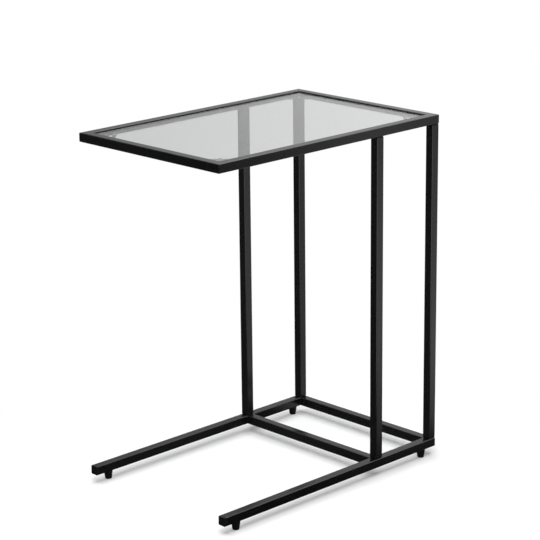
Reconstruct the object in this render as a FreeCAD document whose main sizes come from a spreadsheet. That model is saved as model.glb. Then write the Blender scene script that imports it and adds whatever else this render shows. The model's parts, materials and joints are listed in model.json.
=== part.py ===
import FreeCAD, Part
import os
from types import SimpleNamespace

import Sketcher
from FreeCAD import Placement, Rotation, Vector

# A C shaped side table of square steel tube with a loose glass pane.
# Millimetres. X runs from the open end (-) to the closed spine (+), Y from the near side (-)
# to the far side (+), Z up. The origin is on the floor, in the middle of the table's outline.

doc = FreeCAD.newDocument("side_table")

# Driving sizes

SIZES = (
    ("table_length", 525, "open end to spine, outside"),
    ("table_width", 345, "near side to far side, outside"),
    ("table_height", 631, "floor to the frame's top face"),
    ("tube_size", 16, "side of the square tube"),
    ("tube_wall", 1, "wall of the square tube"),
    ("tube_corner", 1.5, "outer corner radius of the tube"),
    ("bore_corner", 0.5, "inner corner radius of the tube"),
    ("post_spacing", 141.5, "spine post to inner post, between axes"),
    ("glass_thickness", 5, "tempered pane"),
    ("glass_drop", 2.5, "frame's top face down to the pane"),
    ("glass_edge_gap", 1.5, "pane's edge to the frame, all round"),
    ("glass_corner", 4, "corner radius of the pane"),
    ("glass_arris", 0.8, "ground edge of the pane"),
    ("pad_diameter", 5, "clear pad under the pane"),
    ("pad_height", 1.5, "clear pad under the pane"),
    ("pad_edge", 0.5, "rounded edge of the pad"),
    ("seat_gap", 0.2, "pad to the loose pane"),
    ("brace_leg", 51, "frame's inner corner to the brace's middle line, along each tube"),
    ("brace_width", 6, "flat bar across a corner"),
    ("brace_thickness", 3, "flat bar across a corner"),
    ("brace_edge", 0.5, "eased long edges of the flat bar"),
    ("plug_flange", 1.5, "flange between a post's end and the tube it meets"),
    ("plug_inset", 0.5, "flange set in from the post's faces"),
    ("plug_depth", 14, "plug inside the post"),
    ("plug_slack", 0.3, "plug's shank to the bore"),
    ("rib_slack", 0.1, "ribs of plugs and caps to the bore"),
    ("rib_width", 1, "ribs of plugs and caps"),
    ("rib_step", 4, "from one rib to the next"),
    ("cap_flange", 2.5, "end cap outside the rail"),
    ("cap_edge", 0.5, "rounded edge of the end cap"),
    ("cap_depth", 12, "end cap inside the rail"),
    ("cap_wall", 1.3, "wall of the end cap's shank"),
    ("rod_diameter", 6, "tie rod"),
    ("rod_chamfer", 0.7, "ends of tie rods and studs"),
    ("rod_grip", 10, "tie rod inside the nut at each end"),
    ("rod_slack", 0.3, "tie rod to the plugs, radial"),
    ("thread_gap", 0.05, "rod or stud to its thread, radial"),
    ("barrel_diameter", 8, "barrel nut"),
    ("barrel_length", 13, "barrel nut above its head"),
    ("barrel_slack", 0.25, "barrel nut to its holes, radial"),
    ("barrel_end_gap", 0.5, "barrel nut's end to the plug"),
    ("nut_head_diameter", 10.5, "barrel nut's head"),
    ("nut_head_height", 2, "barrel nut's head"),
    ("nut_socket", 5, "barrel nut's hex socket, across flats"),
    ("access_slack", 0.5, "hole under the rail round the nut's head, radial"),
    ("rivet_diameter", 8.8, "rivet nut's shank"),
    ("rivet_slack", 0.1, "rivet nut to its hole, radial"),
    ("rivet_length", 10, "rivet nut inside the tube"),
    ("rivet_bulge_diameter", 10.4, "rivet nut's upset collar"),
    ("rivet_bulge_height", 3, "rivet nut's upset collar"),
    ("rivet_flange_diameter", 10.6, "rivet nut's flange"),
    ("rivet_flange_height", 0.8, "rivet nut's flange"),
    ("flange_slack", 0.3, "rivet nut's flange to the recess round it"),
    ("foot_height", 15.5, "floor to the underside of the rails"),
    ("foot_gap", 0.3, "foot to the rail when screwed right in"),
    ("foot_top_diameter", 16, "foot, upper end"),
    ("foot_bottom_diameter", 11.5, "foot, lower end"),
    ("foot_edge", 2, "rounded lower edge of the foot"),
    ("foot_rim", 0.8, "rounded upper edge of the foot"),
    ("foot_inset_open", 32, "open end to the foot's axis"),
    ("foot_inset_spine", 30, "spine to the foot's axis"),
    ("stud_diameter", 6, "threaded stud of a foot"),
    ("stud_depth", 9, "stud inside the foot"),
    ("stud_end_gap", 0.3, "stud's end to the bottom of its hole"),
    ("stud_reach", 12, "stud above the underside of the rail"),
)

# A mitre is cut this far past the metal.
CUT_OVERRUN = 2.0
# An edge lies at a height, or along a direction, when it is within this of it.
SAME_PLACE = 1e-4


class Size:
    """A length with its spreadsheet expression and its present value."""

    def __init__(self, expression, number):
        self.expression = expression
        self.number = number

    def joined(self, sign, other, number):
        return Size(f"({self.expression} {sign} {expression_of(other)})", number)

    def __add__(self, other):
        return self.joined("+", other, self.number + number_of(other))

    def __sub__(self, other):
        return self.joined("-", other, self.number - number_of(other))

    def __mul__(self, other):
        return self.joined("*", other, self.number * number_of(other))

    def __truediv__(self, other):
        return self.joined("/", other, self.number / number_of(other))

    def __neg__(self):
        return self * -1


def number_of(value):
    return value.number if isinstance(value, Size) else float(value)


def expression_of(value):
    return value.expression if isinstance(value, Size) else f"({float(value)})"


sheet = doc.addObject("Spreadsheet::Sheet", "Sizes")
for row, (alias, number, note) in enumerate(SIZES, start=1):
    sheet.set(f"A{row}", str(number))
    sheet.setAlias(f"A{row}", alias)
    sheet.set(f"B{row}", note)
doc.recompute()
size = SimpleNamespace(**{alias: Size(f"Sizes.{alias}", float(sheet.get(alias))) for alias, _, _ in SIZES})

# Places that several pieces share

half_tube = size.tube_size / 2
bore = size.tube_size - size.tube_wall * 2
half_length = size.table_length / 2
half_width = size.table_width / 2
side_y = half_width - half_tube
spine_x = half_length - half_tube
inner_x = spine_x - size.post_spacing
rail_bottom = size.foot_height
rail_middle = rail_bottom + half_tube
rail_top = rail_bottom + size.tube_size
frame_top = size.table_height
frame_middle = frame_top - half_tube
frame_bottom = frame_top - size.tube_size
glass_bottom = frame_top - size.glass_drop - size.glass_thickness
pad_top = glass_bottom - size.seat_gap
brace_top = pad_top - size.pad_height
barrel_top = rail_top - size.tube_wall + size.barrel_length
rod_radius = size.rod_diameter / 2
foot_top = rail_bottom - size.foot_gap
open_foot_x = size.foot_inset_open - half_length
spine_foot_x = half_length - size.foot_inset_spine

# Holes that nuts go through

rivet_hole = size.rivet_diameter + size.rivet_slack * 2
barrel_hole = size.barrel_diameter + size.barrel_slack * 2
access_hole = size.nut_head_diameter + size.access_slack * 2
thread_radius = rod_radius + size.thread_gap
recess_radius = size.rivet_flange_diameter / 2 + size.flange_slack
recess_depth = size.rivet_flange_height + size.flange_slack

pieces = []


# Document helpers

def bind(item, name, value):
    """Set a property from a size, as an expression where the size comes from the sheet."""
    if isinstance(value, Size):
        item.setExpression(name, value.expression)
    else:
        setattr(item, name, value)


def new_body(label, solids=1):
    body = doc.addObject("PartDesign::Body", label)
    body.Label = label
    pieces.append((body, solids))
    return body


def place(body, x, y, z, rotation=Rotation()):
    body.Placement = Placement(Vector(number_of(x), number_of(y), number_of(z)), rotation)
    for axis, value in (("x", x), ("y", y), ("z", z)):
        if isinstance(value, Size):
            body.setExpression(f"Placement.Base.{axis}", value.expression)


def origin_feature(body, role):
    return next(item for item in body.Origin.OriginFeatures if item.Role == role)


def made(feature):
    """Recompute and stop at a feature that failed."""
    doc.recompute()
    if not feature.isValid():
        raise RuntimeError(f"{feature.Label} failed: {feature.State}")
    return feature


# Sketches

def new_sketch(body, plane, height=0.0):
    sketch = body.newObject("Sketcher::SketchObject", "Sketch")
    sketch.AttachmentSupport = (origin_feature(body, plane), [""])
    sketch.MapMode = "FlatFace"
    sketch.AttachmentOffset = Placement(Vector(0, 0, number_of(height)), Rotation())
    if isinstance(height, Size):
        sketch.setExpression("AttachmentOffset.Base.z", height.expression)
    return sketch


def hold(sketch, constraint, value):
    """Add a dimension and tie it to the sheet."""
    index = sketch.addConstraint(constraint)
    if isinstance(value, Size):
        sketch.setExpression(f"Constraints[{index}]", value.expression)


def hold_point(sketch, geometry, point, x, y):
    for kind, value in (("DistanceX", x), ("DistanceY", y)):
        hold(sketch, Sketcher.Constraint(kind, -1, 1, geometry, point, number_of(value)), value)


def draw_polygon(sketch, corners):
    points = [Vector(number_of(x), number_of(y), 0) for x, y in corners]
    sides = [
        sketch.addGeometry(Part.LineSegment(start, end))
        for start, end in zip(points, points[1:] + points[:1])
    ]
    for side, following in zip(sides, sides[1:] + sides[:1]):
        sketch.addConstraint(Sketcher.Constraint("Coincident", side, 2, following, 1))
    for side, (x, y) in zip(sides, corners):
        hold_point(sketch, side, 1, x, y)


def draw_circle(sketch, x, y, diameter):
    centre = Vector(number_of(x), number_of(y), 0)
    circle = sketch.addGeometry(Part.Circle(centre, Vector(0, 0, 1), number_of(diameter) / 2))
    hold(sketch, Sketcher.Constraint("Diameter", circle, number_of(diameter)), diameter)
    hold_point(sketch, circle, 3, x, y)


def draw_rounded_rectangle(sketch, width, height, radius):
    """A centred rectangle with four equal corner arcs, drawn anticlockwise from the right-hand side."""
    reach_x = width / 2 - radius
    reach_y = height / 2 - radius
    turn = FreeCAD.Units.Quantity("90 deg").getValueAs("rad").Value
    arcs = []
    for quarter, (sign_x, sign_y) in enumerate(((1, 1), (-1, 1), (-1, -1), (1, -1))):
        x, y = reach_x * sign_x, reach_y * sign_y
        corner = Part.Circle(Vector(x.number, y.number, 0), Vector(0, 0, 1), radius.number)
        arc = sketch.addGeometry(Part.ArcOfCircle(corner, quarter * turn, (quarter + 1) * turn))
        hold(sketch, Sketcher.Constraint("Radius", arc, radius.number), radius)
        hold_point(sketch, arc, 3, x, y)
        arcs.append(arc)
    for arc, following in zip(arcs, arcs[1:] + arcs[:1]):
        start = sketch.getPoint(arc, 2)
        end = sketch.getPoint(following, 1)
        side = sketch.addGeometry(Part.LineSegment(start, end))
        sketch.addConstraint(Sketcher.Constraint("Tangent", arc, 2, side, 1))
        sketch.addConstraint(Sketcher.Constraint("Tangent", side, 2, following, 1))


def draw_hexagon(sketch, across_flats):
    """A centred hexagon with a corner on the X axis."""
    half_flat = across_flats / 2
    point = across_flats / 3 ** 0.5
    corners = (
        (point, 0), (point / 2, half_flat), (-point / 2, half_flat),
        (-point, 0), (-point / 2, -half_flat), (point / 2, -half_flat),
    )
    draw_polygon(sketch, corners)


# Features

def pad(body, sketch, length, length_back=None):
    feature = body.newObject("PartDesign::Pad", "Pad")
    feature.Profile = sketch
    bind(feature, "Length", length)
    if length_back is not None:
        feature.SideType = "Two sides"
        bind(feature, "Length2", length_back)
    return made(feature)


def pocket(body, sketch, depth=None, both_ways=False, upwards=False):
    """Cut a sketch through everything on one side, or both, or to a depth."""
    before = body.Shape.Volume
    feature = body.newObject("PartDesign::Pocket", "Pocket")
    feature.Profile = sketch
    feature.Reversed = upwards
    if both_ways:
        feature.SideType = "Symmetric"
    if depth is None:
        feature.Type = "ThroughAll"
    else:
        bind(feature, "Length", depth)
    made(feature)
    if feature.Shape.Volume >= before:
        raise RuntimeError(f"{body.Label}: a pocket cut nothing")
    return feature


def revolve(body, corners):
    """Turn a closed outline of (radius, height) points about the body's Z axis."""
    sketch = new_sketch(body, "XZ_Plane")
    draw_polygon(sketch, corners)
    feature = body.newObject("PartDesign::Revolution", "Revolution")
    feature.Profile = sketch
    feature.ReferenceAxis = (sketch, ["V_Axis"])
    feature.Angle = 360
    return made(feature)


def edges_at_height(shape, height, radius=None):
    """Names of the edges that lie level at a height, only the circles of one radius if it is given."""
    names = []
    for index, edge in enumerate(shape.Edges, start=1):
        box = edge.BoundBox
        level = max(abs(z - number_of(height)) for z in (box.ZMin, box.ZMax)) < SAME_PLACE
        if level and radius is not None:
            level = abs(box.XLength / 2 - number_of(radius)) < SAME_PLACE
        if level:
            names.append(f"Edge{index}")
    return names


def edges_along(shape, direction):
    """Names of the straight edges that run along a direction."""
    names = []
    for index, edge in enumerate(shape.Edges, start=1):
        run = edge.valueAt(edge.LastParameter) - edge.valueAt(edge.FirstParameter)
        if run.cross(direction).Length < SAME_PLACE:
            names.append(f"Edge{index}")
    return names


def dress(body, kind, edges, amount_name, amount):
    """Round or chamfer named edges of the body's last feature."""
    base = body.Tip
    feature = body.newObject(f"PartDesign::{kind}", kind)
    feature.Base = (base, edges)
    bind(feature, amount_name, amount)
    return made(feature)


def repeat_grid(body, length, width):
    """Repeat the whole piece at the four corners of a rectangle, towards +X and +Y."""
    feature = body.newObject("PartDesign::LinearPattern", "LinearPattern")
    feature.TransformMode = "Whole shape"
    feature.Direction = (origin_feature(body, "X_Axis"), [""])
    feature.Occurrences = 2
    bind(feature, "Length", length)
    feature.Direction2 = (origin_feature(body, "Y_Axis"), [""])
    feature.Occurrences2 = 2
    bind(feature, "Length2", width)
    body.Tip = feature
    return made(feature)


# Square tube, cut square or mitred, with holes in its lower and upper walls

def tube_profile(body, plane):
    sketch = new_sketch(body, plane)
    draw_rounded_rectangle(sketch, size.tube_size, size.tube_size, size.tube_corner)
    draw_rounded_rectangle(sketch, bore, bore, size.bore_corner)
    return sketch


def level_tube(label, reach, reach_back, mitred=(), lower_holes=(), upper_holes=()):
    """A tube along its own X, with its inner face towards +Y.

    mitred lists the ends, +1 or -1, that are cut at 45 degrees so that the outer face is the longer.
    A hole is its place along X and its diameter.
    """
    body = new_body(label)
    pad(body, tube_profile(body, "YZ_Plane"), reach, reach_back)
    for holes, upwards in ((lower_holes, False), (upper_holes, True)):
        if holes:
            sketch = new_sketch(body, "XY_Plane")
            for x, diameter in holes:
                draw_circle(sketch, x, 0, diameter)
            pocket(body, sketch, upwards=upwards)
    past_face = half_tube + CUT_OVERRUN
    for end in mitred:
        tip = (reach if end > 0 else reach_back) * end
        past_end = tip + CUT_OVERRUN * end
        sketch = new_sketch(body, "XY_Plane")
        draw_polygon(sketch, (
            (past_end, -past_face),
            (tip - (size.tube_size + CUT_OVERRUN) * end, past_face),
            (past_end, past_face),
        ))
        pocket(body, sketch, both_ways=True)
    return body


def turned(degrees):
    return Rotation(Vector(0, 0, 1), degrees)


BOTH_ENDS = (1, -1)
SIDES = (("near", -1, 0), ("far", 1, 180))

# Top frame: four mitred tubes, with a rivet nut in the lower wall over each post

for side, sign, turn in SIDES:
    spine_end = -sign
    rivet_holes = tuple((x * spine_end, rivet_hole) for x in (spine_x, inner_x))
    tube = level_tube(f"top_rail_{side}", half_length, half_length, BOTH_ENDS, rivet_holes)
    place(tube, 0, side_y * sign, frame_middle, turned(turn))

open_rail = level_tube("top_rail_open_end", half_width, half_width, BOTH_ENDS)
place(open_rail, -spine_x, 0, frame_middle, turned(-90))

corner_rivet_holes = tuple((side_y * end, rivet_hole) for end in BOTH_ENDS)
spine_rail = level_tube("top_rail_spine", half_width, half_width, BOTH_ENDS, corner_rivet_holes)
place(spine_rail, spine_x, 0, frame_middle, turned(90))

# Braces: a flat bar across each inner corner of the frame, cut to the two tubes it is welded between,
# with its long edges eased

inner_corner_x = half_length - size.tube_size
inner_corner_y = half_width - size.tube_size
half_cut = size.brace_width / 2 * 2 ** 0.5
near_end = size.brace_leg - half_cut
far_end = size.brace_leg + half_cut
CORNERS = (
    ("open_near", -1, -1, 0),
    ("spine_near", 1, -1, 90),
    ("spine_far", 1, 1, 180),
    ("open_far", -1, 1, 270),
)
for corner, sign_x, sign_y, turn in CORNERS:
    brace = new_body(f"corner_brace_{corner}")
    outline = new_sketch(brace, "XY_Plane", -size.brace_thickness)
    draw_polygon(outline, ((near_end, 0), (far_end, 0), (0, far_end), (0, near_end)))
    pad(brace, outline, size.brace_thickness)
    long_edges = edges_along(brace.Shape, Vector(1, -1, 0))
    dress(brace, "Fillet", long_edges, "Radius", size.brace_edge)
    place(brace, inner_corner_x * sign_x, inner_corner_y * sign_y, brace_top, turned(turn))

# Pads: a clear disc on the middle of each brace, which the pane rests on

pad_x = inner_corner_x - size.brace_leg / 2
pad_y = inner_corner_y - size.brace_leg / 2
pads = new_body("glass_pads", solids=4)
disc = new_sketch(pads, "XY_Plane")
draw_circle(disc, 0, 0, size.pad_diameter)
pad(pads, disc, size.pad_height)
dress(pads, "Fillet", edges_at_height(pads.Shape, size.pad_height), "Radius", size.pad_edge)
repeat_grid(pads, pad_x * 2, pad_y * 2)
place(pads, -pad_x, -pad_y, brace_top)

# Glass: a loose pane with ground edges, sunk inside the frame

glass = new_body("glass_top")
edge_room = (size.tube_size + size.glass_edge_gap) * 2
outline = new_sketch(glass, "XY_Plane")
draw_rounded_rectangle(
    outline, size.table_length - edge_room, size.table_width - edge_room, size.glass_corner)
pad(glass, outline, size.glass_thickness)
ground = edges_at_height(glass.Shape, 0) + edges_at_height(glass.Shape, size.glass_thickness)
dress(glass, "Chamfer", ground, "Size", size.glass_arris)
place(glass, 0, 0, glass_bottom)

# Base: two long rails and a spine crossbar mitred into a U, and a crossbar between the inner posts.
# Each post has a hole for its barrel nut above and an access hole for the nut's head below.

for side, sign, turn in SIDES:
    spine_end = -sign
    open_reach = half_length - size.cap_flange
    reach, reach_back = (half_length, open_reach) if spine_end > 0 else (open_reach, half_length)
    below = [(x * spine_end, access_hole) for x in (spine_x, inner_x)]
    below += [(x * spine_end, rivet_hole) for x in (open_foot_x, spine_foot_x)]
    above = [(x * spine_end, barrel_hole) for x in (spine_x, inner_x)]
    tube = level_tube(f"base_rail_{side}", reach, reach_back, (spine_end,), below, above)
    place(tube, 0, side_y * sign, rail_middle, turned(turn))

below = [(side_y * end, access_hole) for end in BOTH_ENDS]
above = [(side_y * end, barrel_hole) for end in BOTH_ENDS]
spine_bar = level_tube("base_crossbar_spine", half_width, half_width, BOTH_ENDS, below, above)
place(spine_bar, spine_x, 0, rail_middle, turned(90))

between_rails = half_width - size.tube_size
inner_bar = level_tube("base_crossbar_inner", between_rails, between_rails)
place(inner_bar, inner_x, 0, rail_middle, turned(90))


# Ribbed shank of a plug or cap, above its flange

def ribbed_shank(body, flange, depth, ribs):
    shank = bore - size.plug_slack * 2
    sketch = new_sketch(body, "XY_Plane", flange)
    draw_rounded_rectangle(sketch, shank, shank, size.bore_corner)
    pad(body, sketch, depth)
    ribbed = bore - size.rib_slack * 2
    for number in range(1, ribs + 1):
        sketch = new_sketch(body, "XY_Plane", flange + size.rib_step * number - size.rib_width)
        draw_rounded_rectangle(sketch, ribbed, ribbed, size.bore_corner)
        pad(body, sketch, size.rib_width)


# End caps: a rounded flange over the rail's open end and a hollow ribbed shank inside it

into_rail = Rotation(Vector(0, 1, 0), 90)
for side, sign, turn in SIDES:
    cap = new_body(f"rail_end_cap_{side}")
    flange = new_sketch(cap, "XY_Plane")
    draw_rounded_rectangle(flange, size.tube_size, size.tube_size, size.tube_corner)
    pad(cap, flange, size.cap_flange)
    dress(cap, "Fillet", edges_at_height(cap.Shape, 0), "Radius", size.cap_edge)
    ribbed_shank(cap, size.cap_flange, size.cap_depth, 2)
    hollow = new_sketch(cap, "XY_Plane", size.cap_flange + size.cap_depth)
    inside = bore - (size.plug_slack + size.cap_wall) * 2
    draw_rounded_rectangle(hollow, inside, inside, size.bore_corner)
    pocket(cap, hollow, depth=size.cap_depth)
    place(cap, -half_length, side_y * sign, rail_middle, into_rail)


# Post plugs: a thin flange, a ribbed shank, a bore for the tie rod and a recess for the nut it meets

def post_plug(label, nut_radius, nut_depth):
    body = new_body(label)
    flange_side = size.tube_size - size.plug_inset * 2
    flange = new_sketch(body, "XY_Plane")
    draw_rounded_rectangle(flange, flange_side, flange_side, size.tube_corner)
    pad(body, flange, size.plug_flange)
    ribbed_shank(body, size.plug_flange, size.plug_depth, 3)
    hole = new_sketch(body, "XY_Plane")
    draw_circle(hole, 0, 0, (rod_radius + size.rod_slack) * 2)
    pocket(body, hole, upwards=True)
    recess = new_sketch(body, "XY_Plane")
    draw_circle(recess, 0, 0, nut_radius * 2)
    pocket(body, recess, depth=nut_depth, upwards=True)
    return body


# Posts: an upright tube with a plug in each end and a tie rod through it

POSTS = tuple(
    (f"{row}_{side}", x, side_y * sign)
    for row, x in (("spine", spine_x), ("inner", inner_x))
    for side, sign, _ in SIDES
)
post_length = frame_bottom - rail_top - size.plug_flange * 2
rod_length = frame_bottom + size.rod_grip - barrel_top + size.rod_grip
upside_down = Rotation(Vector(1, 0, 0), 180)
barrel_recess = size.barrel_length - size.tube_wall + size.barrel_end_gap

for name, x, y in POSTS:
    post = new_body(f"post_{name}")
    pad(post, tube_profile(post, "XY_Plane"), post_length)
    place(post, x, y, rail_top + size.plug_flange)

    lower_plug = post_plug(f"lower_plug_{name}", barrel_hole / 2, barrel_recess)
    place(lower_plug, x, y, rail_top)
    upper_plug = post_plug(f"upper_plug_{name}", recess_radius, recess_depth)
    place(upper_plug, x, y, frame_bottom, upside_down)

    rod = new_body(f"tie_rod_{name}")
    section = new_sketch(rod, "XY_Plane")
    draw_circle(section, 0, 0, size.rod_diameter)
    pad(rod, section, rod_length)
    ends = edges_at_height(rod.Shape, 0) + edges_at_height(rod.Shape, rod_length)
    dress(rod, "Chamfer", ends, "Size", size.rod_chamfer)
    place(rod, x, y, barrel_top - size.rod_grip)

# Barrel nuts: a headed sleeve with a hex socket, hung inside the rail's upper wall under each post

barrel_radius = size.barrel_diameter / 2
head_radius = size.nut_head_diameter / 2
barrel_nuts = new_body("barrel_nuts", solids=4)
revolve(barrel_nuts, (
    (0, -size.nut_head_height),
    (head_radius, -size.nut_head_height),
    (head_radius, 0),
    (barrel_radius, 0),
    (barrel_radius, size.barrel_length),
    (thread_radius, size.barrel_length),
    (thread_radius, 0),
    (0, 0),
))
socket = new_sketch(barrel_nuts, "XY_Plane")
draw_hexagon(socket, size.nut_socket)
pocket(barrel_nuts, socket)
repeat_grid(barrel_nuts, size.post_spacing, side_y * 2)
place(barrel_nuts, inner_x, -side_y, rail_top - size.tube_wall)


# Rivet nuts: a flanged threaded sleeve, upset into a collar behind the wall it is pulled into

def rivet_nuts(label, length, first_x, wall_bottom):
    body = new_body(label, solids=4)
    shank_radius = size.rivet_diameter / 2
    flange_radius = size.rivet_flange_diameter / 2
    collar_radius = size.rivet_bulge_diameter / 2
    collar_top = size.tube_wall + size.rivet_bulge_height
    sleeve_top = size.tube_wall + size.rivet_length
    revolve(body, (
        (thread_radius, -size.rivet_flange_height),
        (flange_radius, -size.rivet_flange_height),
        (flange_radius, 0),
        (shank_radius, 0),
        (shank_radius, size.tube_wall),
        (collar_radius, size.tube_wall),
        (shank_radius, collar_top),
        (shank_radius, sleeve_top),
        (thread_radius, sleeve_top),
    ))
    repeat_grid(body, length, side_y * 2)
    place(body, first_x, -side_y, wall_bottom)


rivet_nuts("frame_rivet_nuts", size.post_spacing, inner_x, frame_bottom)
rivet_nuts("foot_rivet_nuts", spine_foot_x - open_foot_x, open_foot_x, rail_bottom)

# Feet: a tapered moulded foot with a threaded stud, screwed up into the rail

stud_radius = size.stud_diameter / 2
stud_hole_radius = stud_radius + size.thread_gap
stud_hole_bottom = foot_top - recess_depth - size.stud_depth
stud_bottom = stud_hole_bottom + size.stud_end_gap
stud_length = rail_bottom + size.stud_reach - stud_bottom
foot_bottom_radius = size.foot_bottom_diameter / 2
foot_top_radius = size.foot_top_diameter / 2
FEET = tuple(
    (f"{end}_{side}", x, side_y * sign)
    for end, x in (("open", open_foot_x), ("spine", spine_foot_x))
    for side, sign, _ in SIDES
)
for name, x, y in FEET:
    foot = new_body(f"foot_{name}")
    revolve(foot, (
        (0, 0),
        (foot_bottom_radius, 0),
        (foot_top_radius, foot_top),
        (recess_radius, foot_top),
        (recess_radius, foot_top - recess_depth),
        (stud_hole_radius, foot_top - recess_depth),
        (stud_hole_radius, stud_hole_bottom),
        (0, stud_hole_bottom),
    ))
    dress(foot, "Fillet", edges_at_height(foot.Shape, 0), "Radius", size.foot_edge)
    rim = edges_at_height(foot.Shape, foot_top, foot_top_radius)
    dress(foot, "Fillet", rim, "Radius", size.foot_rim)
    place(foot, x, y, 0)

    stud = new_body(f"foot_stud_{name}")
    section = new_sketch(stud, "XY_Plane")
    draw_circle(section, 0, 0, size.stud_diameter)
    pad(stud, section, stud_length)
    ends = edges_at_height(stud.Shape, 0) + edges_at_height(stud.Shape, stud_length)
    dress(stud, "Chamfer", ends, "Size", size.rod_chamfer)
    place(stud, x, y, stud_bottom)

# Check the model and write each piece

doc.recompute()
for item in doc.Objects:
    if {"Invalid", "Error"} & set(item.State):
        raise RuntimeError(f"{item.Label} failed: {item.State}")
for body, solids in pieces:
    shape = body.Shape
    if shape.isNull() or not shape.isValid() or len(shape.Solids) != solids:
        raise RuntimeError(f"{body.Label} isn't {solids} sound solid(s)")

os.makedirs("parts", exist_ok=True)
for body, solids in pieces:
    body.Shape.exportStep(f"parts/{body.Label}.step")
    print(f"{body.Label}: {solids} solid(s), {body.Shape.Volume:.0f} mm3")
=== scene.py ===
# %% [markdown]
# # A C shaped side table in black steel and glass
# The table is a frame of 16 mm square steel tube, coated black, with a loose glass pane sunk in its top.
# The solids come ready made and at their real size, so this lesson gives them their finishes, adds the
# small things that a welder and a screw thread leave behind, and lights the table like a catalogue picture.

# %% Load the solids
import json
import math

import bmesh
import bpy
from mathutils import Matrix, Quaternion, Vector

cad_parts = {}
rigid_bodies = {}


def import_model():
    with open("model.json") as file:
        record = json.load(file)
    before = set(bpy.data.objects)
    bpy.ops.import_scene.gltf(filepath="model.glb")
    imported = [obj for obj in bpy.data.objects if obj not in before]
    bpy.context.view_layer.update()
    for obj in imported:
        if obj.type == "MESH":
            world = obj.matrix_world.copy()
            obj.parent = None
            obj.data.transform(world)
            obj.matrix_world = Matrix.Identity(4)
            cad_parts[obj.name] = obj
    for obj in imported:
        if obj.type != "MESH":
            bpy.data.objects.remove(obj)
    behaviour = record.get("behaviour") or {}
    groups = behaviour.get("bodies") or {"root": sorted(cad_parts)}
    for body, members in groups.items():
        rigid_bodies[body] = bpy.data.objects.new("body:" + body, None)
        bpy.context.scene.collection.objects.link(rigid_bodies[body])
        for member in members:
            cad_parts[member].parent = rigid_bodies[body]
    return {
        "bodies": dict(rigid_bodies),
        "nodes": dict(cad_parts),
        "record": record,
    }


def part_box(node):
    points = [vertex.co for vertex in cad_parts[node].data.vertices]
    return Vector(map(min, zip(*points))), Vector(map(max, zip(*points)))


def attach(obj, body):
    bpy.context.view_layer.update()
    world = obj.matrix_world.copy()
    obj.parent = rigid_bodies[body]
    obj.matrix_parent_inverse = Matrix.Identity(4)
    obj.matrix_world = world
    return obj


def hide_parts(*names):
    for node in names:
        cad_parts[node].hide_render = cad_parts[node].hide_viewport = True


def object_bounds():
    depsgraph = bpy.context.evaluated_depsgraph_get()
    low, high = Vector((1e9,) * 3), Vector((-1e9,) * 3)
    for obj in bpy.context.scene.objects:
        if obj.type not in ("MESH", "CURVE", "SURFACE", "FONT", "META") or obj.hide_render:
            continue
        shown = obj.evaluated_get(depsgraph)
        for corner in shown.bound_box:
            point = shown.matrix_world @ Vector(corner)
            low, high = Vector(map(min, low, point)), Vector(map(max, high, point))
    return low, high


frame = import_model()
nodes = frame["nodes"]
cad_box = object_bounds()
MM = 0.001
print(len(nodes), "solids, box", [[round(x, 4) for x in corner] for corner in cad_box])

# %% [markdown]
# ## Camera
# A long lens from about four metres keeps the uprights almost parallel, as in a catalogue picture.
# The camera could be aimed with a constraint, but a bearing, a pitch and a small roll say in plain
# numbers where it stands, and they stay put when the table changes.

# %% Camera
CAMERA_PLACE = Vector((-2.4208, -2.5021, 1.3690))
BEARING = math.radians(-44.237)
PITCH = math.radians(16.022)
ROLL = math.radians(-0.604)
LENS_MM = 138.07

scene = bpy.context.scene
to_camera = Vector((
    math.sin(BEARING) * math.cos(PITCH),
    -math.cos(BEARING) * math.cos(PITCH),
    math.sin(PITCH),
))
camera = bpy.data.objects.new("camera", bpy.data.cameras.new("camera"))
scene.collection.objects.link(camera)
camera.location = CAMERA_PLACE
camera.rotation_mode = "QUATERNION"
camera.rotation_quaternion = (-to_camera).to_track_quat("-Z", "Y") @ Quaternion((0, 0, 1), ROLL)
camera.data.lens = LENS_MM
scene.camera = camera
scene.view_settings.view_transform = "Standard"
print("camera stands", round(CAMERA_PLACE.length, 2), "m from the middle of the table's footprint")

# %% [markdown]
# ## Helpers for finishes
# Every finish below is a small graph of shader nodes. One function adds a node with its settings and
# links, and one turns a colour as a painter writes it, in sRGB hex, into the linear light that shaders use.

# %% Helpers for finishes


def linear(hex_colour):
    """An sRGB hex colour as linear red, green, blue and alpha."""
    channels = [int(hex_colour[start:start + 2], 16) / 255 for start in (0, 2, 4)]
    light = [c / 12.92 if c <= 0.04045 else ((c + 0.055) / 1.055) ** 2.4 for c in channels]
    return (*light, 1.0)


def add_node(tree, kind, settings=None, inputs=None):
    """Add a node; an input takes a plain value or the socket that feeds it."""
    node = tree.nodes.new(kind)
    for name, value in (settings or {}).items():
        setattr(node, name, value)
    for socket, value in (inputs or {}).items():
        if isinstance(value, bpy.types.NodeSocket):
            tree.links.new(value, node.inputs[socket])
        else:
            node.inputs[socket].default_value = value
    return node


def new_material(name):
    """An empty node material."""
    material = bpy.data.materials.new(name)
    material.use_nodes = True
    material.node_tree.nodes.clear()
    return material


print("a mid grey is", round(linear("808080")[0], 3), "in linear light")

# %% [markdown]
# ## White studio
# The picture has a white sweep with no horizon. A backdrop could be modelled, but a world is simpler. It is
# white where the eye looks, a little greyer through the glass so that the pane shows, and it lights the
# table at a plain level. Paint mirrors it as a wall that is bright behind the table, fades up to a darker
# ceiling, and is darker on the left and on the viewer's side. High on the right there is a window. From the
# camera only the rounded edges of the rails mirror it, so each gets a thin line of light along its edge.

# %% White surroundings
AMBIENT = 0.16
CEILING = 0.35
LEFT_WALL = 0.45
VIEWER_WALL = 0.2
THROUGH_GLASS = 0.8
WALL_FADES_FROM = math.radians(13)
WALL_FADES_TO = math.radians(30)
LEFT_FADE = (-0.1, 0.1)
VIEWER_FADE = (-0.2, 0.4)

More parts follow.
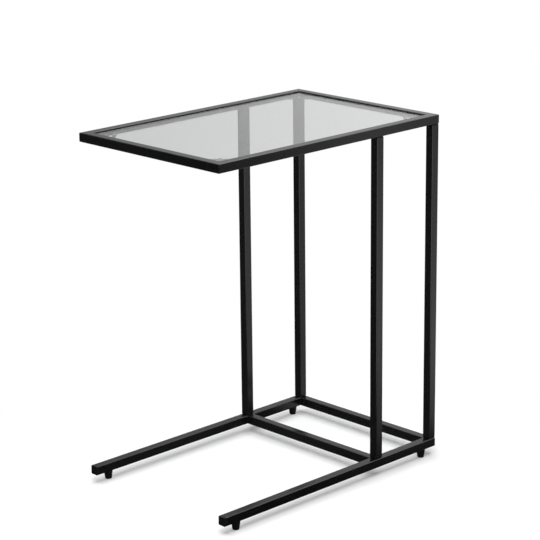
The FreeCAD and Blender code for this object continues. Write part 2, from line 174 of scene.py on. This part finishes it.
world = bpy.data.worlds.new("white_studio")
world.use_nodes = True
world.node_tree.nodes.clear()
scene.world = world
picture_right = Vector((math.cos(BEARING), math.sin(BEARING), 0.0))
picture_depth = Vector((-math.sin(BEARING), math.cos(BEARING), 0.0))

tree = world.node_tree
rays = add_node(tree, "ShaderNodeLightPath").outputs
direction = add_node(tree, "ShaderNodeTexCoord").outputs["Generated"]
height = add_node(tree, "ShaderNodeSeparateXYZ", inputs={0: direction})
up_the_wall = add_node(tree, "ShaderNodeMapRange", inputs={
    "Value": height.outputs["Z"], "From Min": math.sin(WALL_FADES_FROM), "From Max": math.sin(WALL_FADES_TO),
    "To Min": 1.0, "To Max": CEILING})
wall = up_the_wall.outputs[0]
for way, (start, end), low in (
        (picture_right, LEFT_FADE, LEFT_WALL),
        (picture_depth, VIEWER_FADE, VIEWER_WALL)):
    reach = add_node(tree, "ShaderNodeVectorMath", {"operation": "DOT_PRODUCT"}, {0: direction, 1: way})
    fade = add_node(tree, "ShaderNodeMapRange", inputs={
        "Value": reach.outputs["Value"], "From Min": start, "From Max": end, "To Min": low, "To Max": 1.0})
    wall = add_node(
        tree, "ShaderNodeMath", {"operation": "MULTIPLY"}, {0: wall, 1: fade.outputs[0]}).outputs[0]
print("walls are made of", len(tree.nodes), "shader nodes")

# %% Window and world
WINDOW = 4.0
WINDOW_WAY = Vector((0.8, -0.23, 0.56)).normalized()
WINDOW_RIM = math.radians(26)
WINDOW_CORE = math.radians(10)

towards_window = add_node(
    tree, "ShaderNodeVectorMath", {"operation": "DOT_PRODUCT"}, {0: direction, 1: WINDOW_WAY})
window = add_node(tree, "ShaderNodeMapRange", inputs={
    "Value": towards_window.outputs["Value"], "From Min": math.cos(WINDOW_RIM),
    "From Max": math.cos(WINDOW_CORE), "To Min": 0.0, "To Max": WINDOW})
room = add_node(tree, "ShaderNodeMath", {"operation": "ADD"}, {0: wall, 1: window.outputs[0]})
mirrored = add_node(tree, "ShaderNodeMix", inputs={
    "Factor": rays["Is Glossy Ray"], 2: AMBIENT, 3: room.outputs[0]})
behind_glass = add_node(tree, "ShaderNodeMix", inputs={
    "Factor": rays["Is Transmission Ray"], 2: mirrored.outputs[0], 3: THROUGH_GLASS})
strength = add_node(tree, "ShaderNodeMix", inputs={
    "Factor": rays["Is Camera Ray"], 2: behind_glass.outputs[0], 3: 1.0})
background = add_node(
    tree, "ShaderNodeBackground", inputs={"Color": linear("FFFFFF"), "Strength": strength.outputs[0]})
add_node(tree, "ShaderNodeOutputWorld", inputs={"Surface": background.outputs[0]})
print("world lights at", AMBIENT, "and looks white")

# %% [markdown]
# ## Floor
# The floor is a pale matt sheet that keeps the table's soft shadow. A little glow of its own lifts it to
# white for the eye, and away from the table it only glows, so no horizon shows.

# %% Floor
FLOOR_REACH = 6.0

floor_mesh = bpy.data.meshes.new("floor")
grid = bmesh.new()
bmesh.ops.create_grid(grid, x_segments=1, y_segments=1, size=FLOOR_REACH)
grid.to_mesh(floor_mesh)
grid.free()
floor = bpy.data.objects.new("floor", floor_mesh)
scene.collection.objects.link(floor)
print("floor", 2 * FLOOR_REACH, "m square")

# %% Floor as the eye sees it
FLOOR_LIFT = 0.12
WHITE_FROM = 0.34
WHITE_BEYOND = 0.6

# The floor's finish also holds the painted reflection and painted shade that only the paint sees
floor_paint = new_material("white_sweep_and_painted_reflection")
tree = floor_paint.node_tree
rays = add_node(tree, "ShaderNodeLightPath").outputs
place = add_node(tree, "ShaderNodeTexCoord").outputs["Object"]
distance = add_node(tree, "ShaderNodeVectorMath", {"operation": "LENGTH"}, {0: place}).outputs["Value"]
looked_at = add_node(tree, "ShaderNodeMath", {"operation": "MAXIMUM"}, {
    0: rays["Is Camera Ray"], 1: rays["Is Transmission Ray"]})
lift = add_node(tree, "ShaderNodeMath", {"operation": "MULTIPLY"}, {0: looked_at.outputs[0], 1: FLOOR_LIFT})
matt = add_node(tree, "ShaderNodeBsdfDiffuse", inputs={"Color": linear("F0F0F0")})
glow = add_node(tree, "ShaderNodeEmission", inputs={"Strength": lift.outputs[0]})
near_floor = add_node(tree, "ShaderNodeAddShader", inputs={0: matt.outputs[0], 1: glow.outputs[0]})
far_white = add_node(tree, "ShaderNodeMix", inputs={
    "Factor": rays["Is Camera Ray"], 2: THROUGH_GLASS, 3: 1.0})
far_floor = add_node(tree, "ShaderNodeEmission", inputs={"Strength": far_white.outputs[0]})
away = add_node(tree, "ShaderNodeMapRange", {"interpolation_type": "SMOOTHSTEP"}, {
    "Value": distance, "From Min": WHITE_FROM, "From Max": WHITE_BEYOND})
whiten = add_node(tree, "ShaderNodeMath", {"operation": "MULTIPLY"}, {
    0: looked_at.outputs[0], 1: away.outputs[0]})
seen = add_node(tree, "ShaderNodeMixShader", inputs={
    0: whiten.outputs[0], 1: near_floor.outputs[0], 2: far_floor.outputs[0]})
print("floor is only white beyond", WHITE_BEYOND, "m")

# %% [markdown]
# ## What the paint mirrors: a painted reflection
# Black paint shows little but its surroundings, and the upright sides of the tubes mirror the floor. A plain
# white floor would make all sides alike. So the floor that only the paint sees is a painted reflection, a
# glow that is bright in front of the table and to its right and dark behind it, with painted shade under the
# table and close in front of the near rail, where their own shadow would fall. This sets the two visible
# sides of each tube apart. The rays that the posts' fronts mirror run side by side to the front right, so
# ramps of painted light across those rays set each post apart too. A last patch at the front left is a
# painted highlight, which the posts' rounded corners mirror as a light stripe.

# %% Floor as the paint mirrors it, a painted reflection
near_side = cad_box[0][1]
spine_side = cad_box[1][0]
across_rays = Vector((math.cos(BEARING), -math.sin(BEARING), 0.0))
place_x, place_y, _ = add_node(tree, "ShaderNodeSeparateXYZ", inputs={0: place}).outputs
across = add_node(tree, "ShaderNodeVectorMath", {"operation": "DOT_PRODUCT"}, {
    0: place, 1: across_rays}).outputs["Value"]


def product_of_ramps(ramps):
    """The brightness that several ramps over the floor give when they are multiplied."""
    level = 1.0
    for measure, start, end, level_at_start, level_at_end in ramps:
        ramp = add_node(tree, "ShaderNodeMapRange", inputs={
            "Value": measure, "From Min": start, "From Max": end,
            "To Min": level_at_start, "To Max": level_at_end})
        level = add_node(
            tree, "ShaderNodeMath", {"operation": "MULTIPLY"}, {0: level, 1: ramp.outputs[0]}).outputs[0]
    return level


# Each row is a measure, its start and end in metres, and the brightness at its start and end
# Bright well in front of the table; the low start close to the near rail is painted shade where the rail's
# shadow would fall
in_front = product_of_ramps((
    (place_y, near_side - 0.06, near_side - 0.13, 0.2, 1.0),
    (place_y, near_side - 0.08, near_side - 0.48, 0.25, 0.75)))
# Bright to the right of the table, with painted shade inside its footprint
at_the_right = product_of_ramps((
    (place_x, spine_side - 0.04, spine_side, 0.07, 0.75),
    (across, 0.09, 0.18, 0.07, 1.0)))
# Painted light across the mirrored rays, which sets the fronts of the posts apart
from_post_to_post = product_of_ramps((
    (across, -0.16, 0.086, 0.08, 1.7),
    (across, 0.107, 0.215, 1.0, 0.4),
    (across, 0.46, 0.68, 1.0, 0.2)))
# A painted highlight at the front left, mirrored by the posts' rounded corners as a light stripe
painted_corner_highlight = product_of_ramps((
    (across, -0.39, -0.61, 0.0, 1.8),
    (place_y, 0.0, -0.5, 0.0, 1.0),
    (place_x, 0.6, 0.3, 0.0, 1.0)))
print("ramps bring the floor's finish to", len(tree.nodes), "shader nodes")

# %% Floor finish
# Bright beside the table, and painted shade under it
bright_beside_painted_shade_under = add_node(tree, "ShaderNodeMath", {"operation": "MAXIMUM"}, {0: in_front, 1: at_the_right})
# The level of the painted reflection: a glow that only glossy rays see, with painted shade and painted light
# in it
painted_reflection_level = add_node(tree, "ShaderNodeMath", {"operation": "MULTIPLY_ADD"}, {
    0: bright_beside_painted_shade_under.outputs[0], 1: from_post_to_post, 2: painted_corner_highlight})
painted_reflection_glow = add_node(tree, "ShaderNodeEmission", inputs={"Strength": painted_reflection_level.outputs[0]})
in_paint = add_node(tree, "ShaderNodeMath", {"operation": "SUBTRACT", "use_clamp": True}, {
    0: rays["Is Glossy Ray"], 1: rays["Is Transmission Ray"]})
surface = add_node(tree, "ShaderNodeMixShader", inputs={
    0: in_paint.outputs[0], 1: seen.outputs[0], 2: painted_reflection_glow.outputs[0]})
# From below the floor is clear, so that the feet and the underside can be looked at too
from_below = add_node(tree, "ShaderNodeMath", {"operation": "MULTIPLY"}, {
    0: add_node(tree, "ShaderNodeNewGeometry").outputs["Backfacing"], 1: rays["Is Camera Ray"]})
clear = add_node(tree, "ShaderNodeBsdfTransparent")
one_sided = add_node(tree, "ShaderNodeMixShader", inputs={
    0: from_below.outputs[0], 1: surface.outputs[0], 2: clear.outputs[0]})
add_node(tree, "ShaderNodeOutputMaterial", inputs={"Surface": one_sided.outputs[0]})
floor_mesh.materials.append(floor_paint)
print("floor finish has", len(tree.nodes), "shader nodes")

# %% [markdown]
# ## Lamps
# A softbox as wide as a ceiling hangs over the table, so each rail has a wide, soft shadow straight below
# it. A small one above the viewer fills the sides that face the front. Neither is seen through the glass,
# where it would leave bright specks. Together with the world they light a colour about as it is written.

# %% Lamps
TABLE_MIDDLE = Vector((0.0, 0.0, 0.35))


def add_softbox(name, place, side, watts):
    """A square lamp that faces the middle of the table."""
    lamp = bpy.data.lights.new(name, "AREA")
    lamp.shape = "SQUARE"
    lamp.size = side
    lamp.energy = watts
    softbox = bpy.data.objects.new(name, lamp)
    softbox.location = place
    softbox.rotation_mode = "QUATERNION"
    softbox.rotation_quaternion = (TABLE_MIDDLE - Vector(place)).to_track_quat("-Z", "Y")
    softbox.visible_transmission = False
    scene.collection.objects.link(softbox)
    return softbox


add_softbox("overhead_softbox", place=(0.0, 0.1, 2.4), side=3.4, watts=88)
add_softbox("front_softbox", place=(-1.15, -1.2, 2.0), side=1.3, watts=16)

# %% [markdown]
# ## Black powder coat
# The welded steel is sprayed with dry powder and baked, so the paint flows into a satin skin with a faint
# orange peel. A flat black would look like a hole in the picture. Two noises give it life: a wide one
# ripples the surface like the peel, and a fine one varies the gloss like the grains of powder.

# %% Powder coat
# Real peel is about 2 mm wide and real grains 0.1 mm, so both are drawn coarser here to show at all
PEEL_MM = 4.0
PEEL_DEPTH_MM = 0.08
GRAIN_MM = 0.9
COAT_SMOOTHEST = 0.16
COAT_ROUGHEST = 0.32
RELIEF_STRENGTH = 0.7


def powder_coat():
    """A satin black that mirrors its surroundings at a shallow angle and is dark from in front."""
    material = new_material("black_powder_coat")
    tree = material.node_tree
    place = add_node(tree, "ShaderNodeTexCoord").outputs["Object"]
    peel = add_node(
        tree, "ShaderNodeTexNoise", inputs={"Vector": place, "Scale": 1 / (PEEL_MM * MM), "Detail": 1.0})
    grain = add_node(
        tree, "ShaderNodeTexNoise", inputs={"Vector": place, "Scale": 1 / (GRAIN_MM * MM), "Detail": 1.0})
    roughness = add_node(tree, "ShaderNodeMapRange", inputs={
        "Value": grain.outputs["Fac"], "To Min": COAT_SMOOTHEST, "To Max": COAT_ROUGHEST})
    ripple = add_node(tree, "ShaderNodeBump", inputs={
        "Height": peel.outputs["Fac"], "Distance": PEEL_DEPTH_MM * MM, "Strength": RELIEF_STRENGTH})
    colour = add_node(tree, "ShaderNodeMix", {"data_type": "RGBA"}, {
        "Factor": grain.outputs["Fac"], "A": linear("0D0D0E"), "B": linear("141415")})
    coat = add_node(tree, "ShaderNodeBsdfPrincipled", inputs={
        "Base Color": colour.outputs["Result"], "Roughness": roughness.outputs[0],
        "Normal": ripple.outputs[0]})
    add_node(tree, "ShaderNodeOutputMaterial", inputs={"Surface": coat.outputs[0]})
    return material


finishes = {"black_powder_coat": powder_coat()}
print("finishes:", list(finishes))

# %% [markdown]
# ## Black polypropylene
# The feet, the post plugs and the rail ends are moulded plastic. A mould is usually etched, which leaves a
# fine, even pebble that swallows light, so the plastic looks duller and darker than the paint beside it.

# %% Moulded plastic
# A real etched pebble is about 0.3 mm across, and it is drawn coarser here to show at all
PEBBLE_MM = 0.8
PEBBLE_DEPTH_MM = 0.06
PLASTIC_SMOOTHEST = 0.42
PLASTIC_ROUGHEST = 0.58
PLASTIC_SPECULAR = 0.2


def moulded_plastic():
    """A dull black with the fine pebble of an etched mould."""
    material = new_material("black_polypropylene")
    tree = material.node_tree
    place = add_node(tree, "ShaderNodeTexCoord").outputs["Object"]
    pebble = add_node(tree, "ShaderNodeTexVoronoi", {"feature": "SMOOTH_F1"}, {
        "Vector": place, "Scale": 1 / (PEBBLE_MM * MM)})
    roughness = add_node(tree, "ShaderNodeMapRange", inputs={
        "Value": pebble.outputs["Distance"], "To Min": PLASTIC_SMOOTHEST, "To Max": PLASTIC_ROUGHEST})
    relief = add_node(tree, "ShaderNodeBump", inputs={
        "Height": pebble.outputs["Distance"], "Distance": PEBBLE_DEPTH_MM * MM, "Strength": RELIEF_STRENGTH})
    colour = add_node(tree, "ShaderNodeMix", {"data_type": "RGBA"}, {
        "Factor": pebble.outputs["Distance"], "A": linear("171718"), "B": linear("101011")})
    plastic = add_node(tree, "ShaderNodeBsdfPrincipled", inputs={
        "Base Color": colour.outputs["Result"], "Roughness": roughness.outputs[0],
        "Specular IOR Level": PLASTIC_SPECULAR, "Normal": relief.outputs[0]})
    add_node(tree, "ShaderNodeOutputMaterial", inputs={"Surface": plastic.outputs[0]})
    return material


finishes["black_plastic"] = moulded_plastic()
print("finishes:", list(finishes))

# %% [markdown]
# ## Zinc plated steel
# Nuts, rods and studs are turned or rolled from steel and then plated with bright zinc. The plate is a cool
# silver that clouds a little where the bath was weaker, and it is never as clear as chrome.

# %% Zinc plate
CLOUD_MM = 3.0
ZINC_SMOOTHEST = 0.22
ZINC_ROUGHEST = 0.42


def zinc_plate():
    """A cool silver with soft clouds in its gloss and colour."""
    material = new_material("zinc_plated_steel")
    tree = material.node_tree
    place = add_node(tree, "ShaderNodeTexCoord").outputs["Object"]
    cloud = add_node(
        tree, "ShaderNodeTexNoise", inputs={"Vector": place, "Scale": 1 / (CLOUD_MM * MM), "Detail": 4.0})
    roughness = add_node(tree, "ShaderNodeMapRange", inputs={
        "Value": cloud.outputs["Fac"], "To Min": ZINC_SMOOTHEST, "To Max": ZINC_ROUGHEST})
    colour = add_node(tree, "ShaderNodeMix", {"data_type": "RGBA"}, {
        "Factor": cloud.outputs["Fac"], "A": linear("C3C7CB"), "B": linear("A9ADB1")})
    plate = add_node(tree, "ShaderNodeBsdfPrincipled", inputs={
        "Base Color": colour.outputs["Result"], "Roughness": roughness.outputs[0], "Metallic": 1.0})
    add_node(tree, "ShaderNodeOutputMaterial", inputs={"Surface": plate.outputs[0]})
    return material


finishes["zinc_steel"] = zinc_plate()
print("finishes:", list(finishes))

# %% [markdown]
# ## Clear silicone
# Four small clear pads keep the pane off the steel. Silicone is clear but soft, so its skin is a little
# cloudy and takes dust, which a rough, slightly uneven transmission shows.

# %% Silicone
HAZE_MM = 0.8
SILICONE_SMOOTHEST = 0.25
SILICONE_ROUGHEST = 0.45
SILICONE_IOR = 1.41
SILICONE_CLEARNESS = 0.85


def clear_silicone():
    """A cloudy clear skin that shows as a pale disc through the pane."""
    material = new_material("clear_silicone")
    tree = material.node_tree
    place = add_node(tree, "ShaderNodeTexCoord").outputs["Object"]
    haze = add_node(
        tree, "ShaderNodeTexNoise", inputs={"Vector": place, "Scale": 1 / (HAZE_MM * MM), "Detail": 2.0})
    roughness = add_node(tree, "ShaderNodeMapRange", inputs={
        "Value": haze.outputs["Fac"], "To Min": SILICONE_SMOOTHEST, "To Max": SILICONE_ROUGHEST})
    skin = add_node(tree, "ShaderNodeBsdfPrincipled", inputs={
        "Base Color": linear("E6EAE9"), "Roughness": roughness.outputs[0], "IOR": SILICONE_IOR,
        "Transmission Weight": SILICONE_CLEARNESS})
    add_node(tree, "ShaderNodeOutputMaterial", inputs={"Surface": skin.outputs[0]})
    return material


finishes["clear_pad"] = clear_silicone()
print("finishes:", list(finishes))

# %% [markdown]
# ## Toughened glass
# The pane is 5 mm float glass, almost clear, whose edge is ground to a satin before it is toughened. Real
# glass lets light through to the floor, but a path tracer has trouble finding lamps through a refracting
# slab, so shadow rays see a clear sheet and the eye sees the glass. The edge is told from the two flat
# faces by its normal, which lies level.

# %% Glass
GROUND_EDGE = 0.5
GLASS_IOR = 1.52


def toughened_glass():
    """Almost clear glass with polished faces and a satin edge, which lets the lamps through."""
    material = new_material("toughened_float_glass")
    tree = material.node_tree
    facing = add_node(tree, "ShaderNodeNewGeometry").outputs["True Normal"]
    upright = add_node(tree, "ShaderNodeMath", {"operation": "ABSOLUTE"}, {
        0: add_node(tree, "ShaderNodeSeparateXYZ", inputs={0: facing}).outputs["Z"]})
    satin = add_node(tree, "ShaderNodeMapRange", {"interpolation_type": "STEPPED"}, {
        "Value": upright.outputs[0], "Steps": 1.0, "To Min": GROUND_EDGE, "To Max": 0.0})
    pane = add_node(tree, "ShaderNodeBsdfPrincipled", inputs={
        "Base Color": linear("E4E6E5"), "Roughness": satin.outputs[0], "IOR": GLASS_IOR,
        "Transmission Weight": 1.0})
    clear = add_node(tree, "ShaderNodeBsdfTransparent", inputs={"Color": linear("EEF1F0")})
    shadow = add_node(tree, "ShaderNodeLightPath").outputs["Is Shadow Ray"]
    both = add_node(tree, "ShaderNodeMixShader", inputs={
        0: shadow, 1: pane.outputs[0], 2: clear.outputs[0]})
    add_node(tree, "ShaderNodeOutputMaterial", inputs={"Surface": both.outputs[0]})
    return material


finishes["clear_glass"] = toughened_glass()
print("finishes:", list(finishes))

# %% [markdown]
# ## Dress the solids
# The record says which finish each solid has, so one loop dresses them all.

# %% Dress the solids
slot_of = {part["node"]: part["material_slot"] for part in frame["record"]["subparts"]}
for name, node in nodes.items():
    node.data.materials.clear()
    node.data.materials.append(finishes[slot_of[name]])
print(len(slot_of), "solids dressed")

# %% [markdown]
# ## Adding a piece
# Each new piece is shaped in a bmesh and becomes an object that moves with one body of the table. Faces that
# meet at a shallow angle are shaded smooth, and sharper edges stay crisp.

# %% Adding a piece
SHARP_ANGLE = math.radians(35)


def add_piece(name, shape, body, slot):
    """Make a bmesh an object that rides on a body and has the finish of a slot."""
    bmesh.ops.recalc_face_normals(shape, faces=shape.faces[:])
    mesh = bpy.data.meshes.new(name)
    shape.to_mesh(mesh)
    shape.free()
    mesh.shade_smooth()
    mesh.set_sharp_from_angle(angle=SHARP_ANGLE)
    mesh.materials.append(finishes[slot])
    piece = bpy.data.objects.new(name, mesh)
    scene.collection.objects.link(piece)
    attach(piece, body)
    return piece


print("edges sharper than", round(math.degrees(SHARP_ANGLE)), "degrees stay crisp")

# %% [markdown]
# ## Weld beads
# The flat bars under the pane and the crossbars of the base are welded to the tubes, and nobody grinds a
# weld that is out of sight. A bead is a row of small overlapping pools. Here it starts as a thin cylinder
# that is cut into rings, and every second ring is scaled in, which leaves the ripples of the pools.

# %% Weld beads
BEAD_RADIUS = 1.6 * MM
BEAD_RIPPLE = 1.1 * MM
BEAD_SIDES = 12
BEAD_WAIST = 0.84
BEAD_END = 0.55


def lay_bead(welds, start, end):
    """Add to a bmesh one rippled bead along the line between two points."""
    run = Vector(end) - Vector(start)
    bead = bmesh.new()
    bmesh.ops.create_cone(
        bead, cap_ends=True, segments=BEAD_SIDES, radius1=BEAD_RADIUS, radius2=BEAD_RADIUS, depth=run.length)
    long_edges = [e for e in bead.edges if abs(e.verts[0].co.z - e.verts[1].co.z) > BEAD_RIPPLE]
    cuts = 2 * round(run.length / BEAD_RIPPLE / 2) + 1
    bmesh.ops.subdivide_edges(bead, edges=long_edges, cuts=cuts)
    step = run.length / (cuts + 1)
    for ring in range(cuts + 2):
        height = ring * step - run.length / 2
        level = [v for v in bead.verts if abs(v.co.z - height) < step / 4]
        size = 1.0 if ring % 2 else BEAD_WAIST
        if ring in (0, cuts + 1):
            size = BEAD_END
        bmesh.ops.scale(bead, vec=(size, size, 1), verts=level)
    turn = run.to_track_quat("Z", "Y").to_matrix().to_4x4()
    middle = Matrix.Translation((Vector(start) + Vector(end)) / 2)
    bmesh.ops.transform(bead, matrix=middle @ turn, verts=bead.verts[:])
    carrier = bpy.data.meshes.new("bead")
    bead.to_mesh(carrier)
    bead.free()
    welds.from_mesh(carrier)
    bpy.data.meshes.remove(carrier)


print("a bead is", round(2 * BEAD_RADIUS / MM, 1), "mm thick")

# %% Welds of the corner braces
BRACE_WIDTH = 6 * MM

shape = bmesh.new()
braces = [name for name in nodes if name.startswith("corner_brace")]
for name in braces:
    low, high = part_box(name)
    corner = Vector((max(low.x, high.x, key=abs), max(low.y, high.y, key=abs), low.z))
    inward = Vector((-math.copysign(1, corner.x), -math.copysign(1, corner.y), 0))
    far_end = high.x - low.x
    near_end = far_end - BRACE_WIDTH * math.sqrt(2)
    for axis in (Vector((inward.x, 0, 0)), Vector((0, inward.y, 0))):
        lay_bead(shape, corner + axis * near_end, corner + axis * far_end)
add_piece("brace_welds", shape, "frame", "black_powder_coat")
print(2 * len(braces), "beads hold the corner braces")

# %% Welds of the crossbars
shape = bmesh.new()
low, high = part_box("base_crossbar_inner")
spine_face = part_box("base_crossbar_spine")[0].x
for x in (low.x, high.x, spine_face):
    for y in (low.y, high.y):
        lay_bead(shape, (x, y, low.z + BEAD_RADIUS), (x, y, high.z - BEAD_RADIUS))
add_piece("crossbar_welds", shape, "frame", "black_powder_coat")
print("6 beads hold the crossbars")

# %% [markdown]
# ## Threaded studs
# A foot screws in and out on an M6 stud, and its thread shows once the foot is unscrewed. A thread is one V
# shaped line that climbs as it turns, so the profile of a single turn is spun with a rise of one pitch a
# turn. A metric thread has a flat of a quarter pitch at its root and of an eighth at its crest. The ends are
# cut square and drawn in to the small chamfer that lets the stud start in its nut.

# %% Thread
THREAD_PITCH = 1.0 * MM
THREAD_DEPTH = 0.61 * MM
ROOT_FLAT = 1 / 4
CREST_FLAT = 1 / 8
SAME_POINT = THREAD_PITCH / 1000
TURN_STEPS = 24
TIP_CHAMFER = 0.7 * MM


def threaded_rod(radius, length):
    """A bmesh of a rod along Z from 0 to its length, with a thread that keeps within its radius."""
    shape = bmesh.new()
    root = radius - THREAD_DEPTH
    flank = (1 - ROOT_FLAT - CREST_FLAT) / 2
    profile = (
        (root, 0), (root, ROOT_FLAT), (radius, ROOT_FLAT + flank), (radius, 1 - flank), (root, 1))
    line = [shape.verts.new((r, 0, turn * THREAD_PITCH)) for r, turn in profile]
    edges = [shape.edges.new(pair) for pair in zip(line, line[1:])]
    turns = math.ceil(length / THREAD_PITCH) + 1
    bmesh.ops.spin(
        shape, geom=line + edges, axis=(0, 0, 1), cent=(0, 0, 0), dvec=(0, 0, THREAD_PITCH / TURN_STEPS),
        angle=2 * math.pi * turns, steps=turns * TURN_STEPS)
    bmesh.ops.remove_doubles(shape, verts=shape.verts[:], dist=SAME_POINT)
    bmesh.ops.translate(shape, vec=(0, 0, -THREAD_PITCH), verts=shape.verts[:])
    for height, outward in ((TIP_CHAMFER, -1), (length - TIP_CHAMFER, 1)):
        cut = bmesh.ops.bisect_plane(
            shape, geom=shape.verts[:] + shape.edges[:] + shape.faces[:], dist=SAME_POINT,
            plane_co=(0, 0, height), plane_no=(0, 0, outward), clear_outer=True)
        rim = [item for item in cut["geom_cut"] if isinstance(item, bmesh.types.BMEdge)]
        grown = bmesh.ops.extrude_edge_only(shape, edges=rim)["geom"]
        tip = [item for item in grown if isinstance(item, bmesh.types.BMVert)]
        bmesh.ops.translate(shape, vec=(0, 0, outward * TIP_CHAMFER), verts=tip)
        inset = (root - TIP_CHAMFER / 2) / radius
        bmesh.ops.scale(shape, vec=(inset, inset, 1), verts=tip)
        bmesh.ops.holes_fill(
            shape, edges=[e for e in shape.edges if e.is_boundary and all(v in tip for v in e.verts)])
    return shape


print("an M6 thread climbs", round(THREAD_PITCH / MM, 2), "mm a turn")

# %% Studs of the feet
stud_bodies = [body for body in frame["bodies"] if body.startswith("foot_rise_")]
for body in stud_bodies:
    corner_name = body.removeprefix("foot_rise_")
    low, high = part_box(f"foot_stud_{corner_name}")
    shape = threaded_rod((high.x - low.x) / 2, high.z - low.z)
    bmesh.ops.translate(
        shape, vec=((low.x + high.x) / 2, (low.y + high.y) / 2, low.z), verts=shape.verts[:])
    stud = add_piece(f"threaded_stud_{corner_name}", shape, body, "zinc_steel")
    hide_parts(f"foot_stud_{corner_name}")
    print(stud.name, len(stud.data.polygons), "faces")
